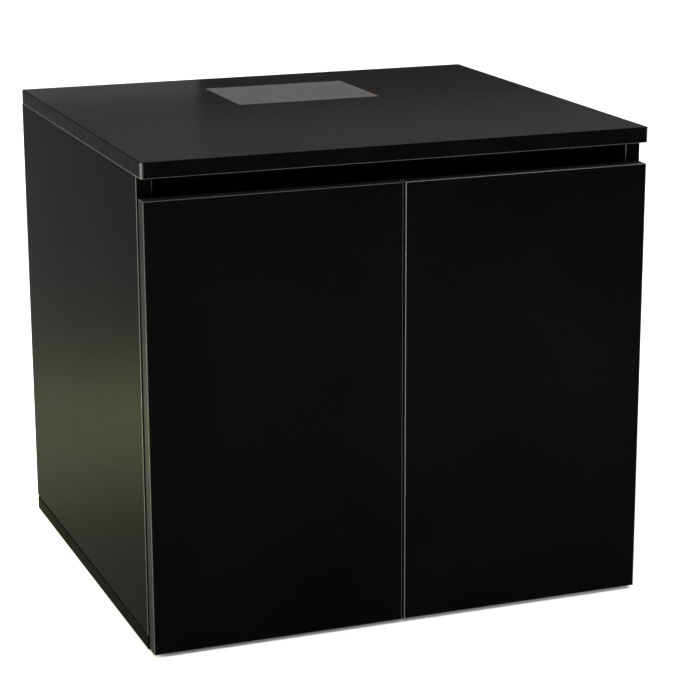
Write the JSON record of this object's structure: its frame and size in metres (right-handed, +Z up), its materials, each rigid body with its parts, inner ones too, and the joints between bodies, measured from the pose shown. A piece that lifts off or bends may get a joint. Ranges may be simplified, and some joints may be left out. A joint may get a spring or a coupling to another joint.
{
  "type": "aquarium cabinet",
  "caption": "Black board cabinet that carries an aquarium, with doors on concealed hinges, a finger gap above them and a lift-out plate in the top.",
  "frame": {"origin": "on the floor, under the middle of the cabinet", "axes": "+X to the right seen from the front, -Y the side with the doors, +Z up"},
  "size_m": [0.6, 0.54, 0.56],
  "materials": {
    "black_board": "black melamine face, satin",
    "edge_band": "black edge band, satin",
    "grey_plate": "mid grey sheet, matt",
    "black_plastic": "moulded, fine grain",
    "clear_rubber": "soft, translucent",
    "beech": "raw, ribbed",
    "zinc_casting": "raw die casting",
    "plated_screw": "bright zinc plate",
    "hinge_steel": "nickel plated pressed steel"
  },
  "bodies": {
    "carcass": {"back_panel": "black_board", "base_screws": "plated_screw", "bottom_panel": "black_board", "cable_grommets": "black_plastic", "cam_bolts": "plated_screw", "cam_locks": "zinc_casting", "door_bumpers": "clear_rubber", "dowels": "beech", "floor_glides": "black_plastic", "front_rail": "black_board", "left_arm_pins": "plated_screw", "left_arm_screws": "plated_screw", "left_hinge_arms": "hinge_steel", "left_mounting_plates": "hinge_steel", "left_plate_screws": "plated_screw", "left_side_edging": "edge_band", "left_side_panel": "black_board", "right_arm_pins": "plated_screw", "right_arm_screws": "plated_screw", "right_hinge_arms": "hinge_steel", "right_mounting_plates": "hinge_steel", "right_plate_screws": "plated_screw", "right_side_edging": "edge_band", "right_side_panel": "black_board", "top_edging": "edge_band", "top_panel": "black_board"},
    "left_links": {"left_hinge_links": "hinge_steel"},
    "left_door": {"left_cup_pins": "plated_screw", "left_cup_screws": "plated_screw", "left_door": "black_board", "left_door_edging": "edge_band", "left_hinge_cups": "hinge_steel"},
    "right_links": {"right_hinge_links": "hinge_steel"},
    "right_door": {"right_cup_pins": "plated_screw", "right_cup_screws": "plated_screw", "right_door": "black_board", "right_door_edging": "edge_band", "right_hinge_cups": "hinge_steel"},
    "cutout_cover": {"pipe_cutout_cover": "grey_plate"}
  },
  "joints": [
    {"name": "left_link_swing", "type": "hinge", "parent": "carcass", "child": "left_links", "pos_m": [-0.264, -0.2468, 0.25], "axis": [0, 0, -1], "range_deg": [-68.6, 0]},
    {"name": "left_door_swing", "type": "hinge", "parent": "left_links", "child": "left_door", "pos_m": [-0.283, -0.255, 0.25], "axis": [0, 0, -1], "range_deg": [0, 158.4]},
    {"name": "right_link_swing", "type": "hinge", "parent": "carcass", "child": "right_links", "pos_m": [0.264, -0.2468, 0.25], "axis": [0, 0, 1], "range_deg": [-68.6, 0]},
    {"name": "right_door_swing", "type": "hinge", "parent": "right_links", "child": "right_door", "pos_m": [0.283, -0.255, 0.25], "axis": [0, 0, 1], "range_deg": [0, 158.4]},
    {"name": "cover_lift", "type": "slide", "parent": "carcass", "child": "cutout_cover", "axis": [0, 0, 1], "range_m": [0, 0.1]}
  ],
  "couplings": [
    {"joint": "left_link_swing", "follows": "left_door_swing", "ratio": -0.43182},
    {"joint": "right_link_swing", "follows": "right_door_swing", "ratio": -0.43182}
  ]
}
